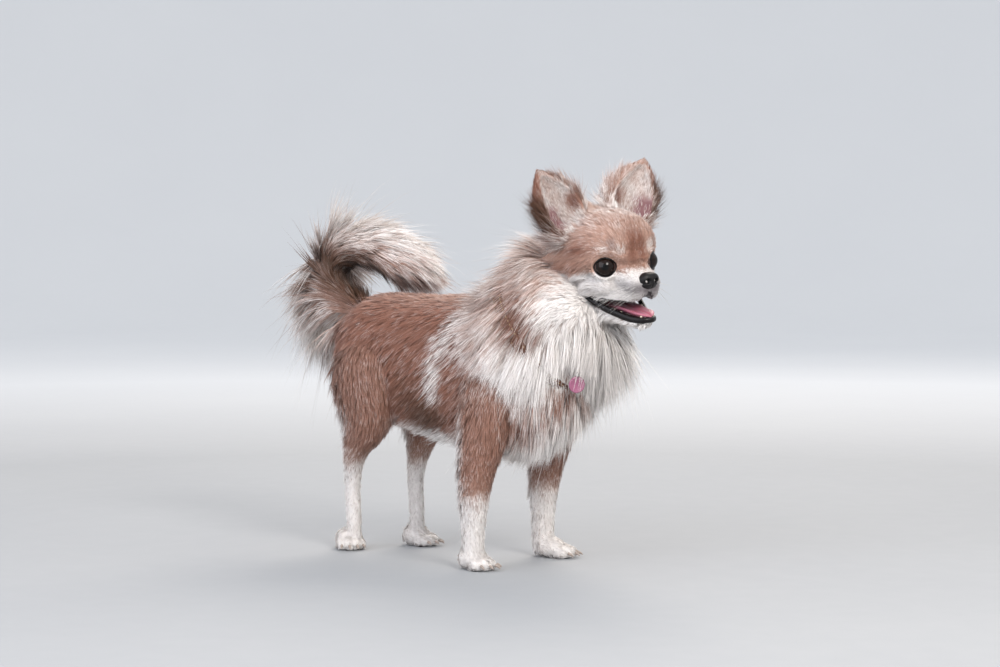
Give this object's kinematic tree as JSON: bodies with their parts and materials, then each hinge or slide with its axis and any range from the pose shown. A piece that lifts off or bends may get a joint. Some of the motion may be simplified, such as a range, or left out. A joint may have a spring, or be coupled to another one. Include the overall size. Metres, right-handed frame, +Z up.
{
  "type": "long-haired chihuahua",
  "caption": "Life-size still model of a small long-haired dog that stands on its paws with an open mouth, upright ears, a ruff and a plumed tail curled over its back.",
  "frame": {"origin": "on the floor, under the middle of the whole dog's bounding box", "axes": "+X to the front of the body, +Y to the dog's left, +Z up"},
  "size_m": [0.3774, 0.1612, 0.3216],
  "materials": {
    "fawn_coat": "medium-length fawn fur",
    "cream_coat": "soft cream to white fur",
    "tail_coat": "long plume, dark brown inside to cream tips",
    "nose_leather": "moist black skin",
    "mouth_skin": "moist dark lips and gums",
    "tongue_skin": "moist pink",
    "eye": "glossy dark brown",
    "strap": "thin brown strap",
    "tag": "pink enamel, blank"
  },
  "bodies": {
    "root": {"head": "fawn_coat", "nose": "nose_leather", "eye_left": "eye", "eye_right": "eye", "lower_jaw": "mouth_skin", "tongue": "tongue_skin", "ear_left": "fawn_coat", "ear_right": "fawn_coat", "neck": "cream_coat", "torso": "fawn_coat", "collar": "strap", "collar_tag": "tag", "front_right_shoulder": "fawn_coat", "front_right_forearm": "cream_coat", "front_right_paw": "cream_coat", "front_left_shoulder": "fawn_coat", "front_left_forearm": "cream_coat", "front_left_paw": "cream_coat", "hind_right_thigh": "fawn_coat", "hind_right_shank": "cream_coat", "hind_right_paw": "cream_coat", "hind_left_thigh": "fawn_coat", "hind_left_shank": "cream_coat", "hind_left_paw": "cream_coat", "tail_root": "tail_coat", "tail_middle": "tail_coat", "tail_tip": "tail_coat"}
  },
  "joints": []
}
